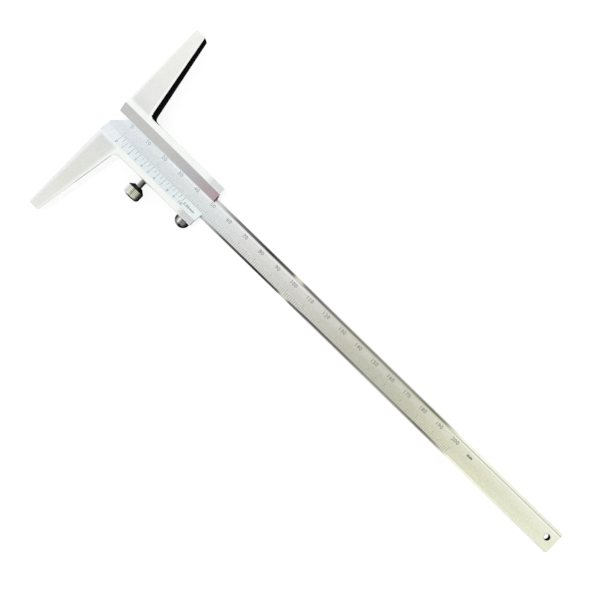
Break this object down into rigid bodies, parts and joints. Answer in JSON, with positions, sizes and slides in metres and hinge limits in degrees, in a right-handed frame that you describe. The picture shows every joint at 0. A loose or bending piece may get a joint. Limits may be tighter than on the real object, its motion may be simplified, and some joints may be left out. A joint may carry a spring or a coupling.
{
  "type": "vernier depth gauge",
  "caption": "Vernier depth gauge: a T-shaped base and slider with bevelled lips over a graduated beam, clamped by knurled and domed lock screws.",
  "frame": {"origin": "middle of the closed gauge's footprint, on the surface its back lies on, on the beam's axis", "axes": "+X from the measuring face along the beam to its far end, +Y along the arm on the numerals' side, +Z out of the graduated front"},
  "size_m": [0.2726, 0.106, 0.01],
  "materials": {
    "satin_chrome": "satin chrome on ground steel",
    "beam_steel": "satin, ground lengthwise",
    "bronze": "rolled",
    "screw_steel": "turned",
    "brass": "turned",
    "bright_chrome": "polished"
  },
  "bodies": {
    "base": {"base_slider": "satin_chrome", "gib_strip": "bronze", "gib_screw_front": "screw_steel", "gib_screw_rear": "screw_steel"},
    "beam": {"depth_beam": "beam_steel"},
    "front_pad": {"front_clamp_pad": "brass"},
    "front_screw": {"front_lock_screw": "bright_chrome"},
    "rear_pad": {"rear_clamp_pad": "brass"},
    "rear_screw": {"rear_lock_screw": "bright_chrome"}
  },
  "joints": [
    {"name": "beam_slide", "type": "slide", "parent": "base", "child": "beam", "axis": [-1, 0, 0], "range_m": [0, 0.2]},
    {"name": "front_pad_feed", "type": "slide", "parent": "base", "child": "front_pad", "axis": [0, 1, 0], "range_m": [0, 0.0024]},
    {"name": "front_screw_turn", "type": "hinge", "parent": "front_pad", "child": "front_screw", "pos_m": [-0.10715, -0.015, 0.0058], "axis": [0, 1, 0], "range_deg": [0, 1728]},
    {"name": "rear_pad_feed", "type": "slide", "parent": "base", "child": "rear_pad", "axis": [0, 1, 0], "range_m": [-0.0027, 0]},
    {"name": "rear_screw_turn", "type": "hinge", "parent": "rear_pad", "child": "rear_screw", "pos_m": [-0.08265, -0.012, 0.0058], "axis": [0, 1, 0], "range_deg": [-1944, 0]}
  ],
  "couplings": [
    {"joint": "front_screw_turn", "follows": "front_pad_feed", "rad_per_m": 12566},
    {"joint": "rear_screw_turn", "follows": "rear_pad_feed", "rad_per_m": 12566}
  ]
}
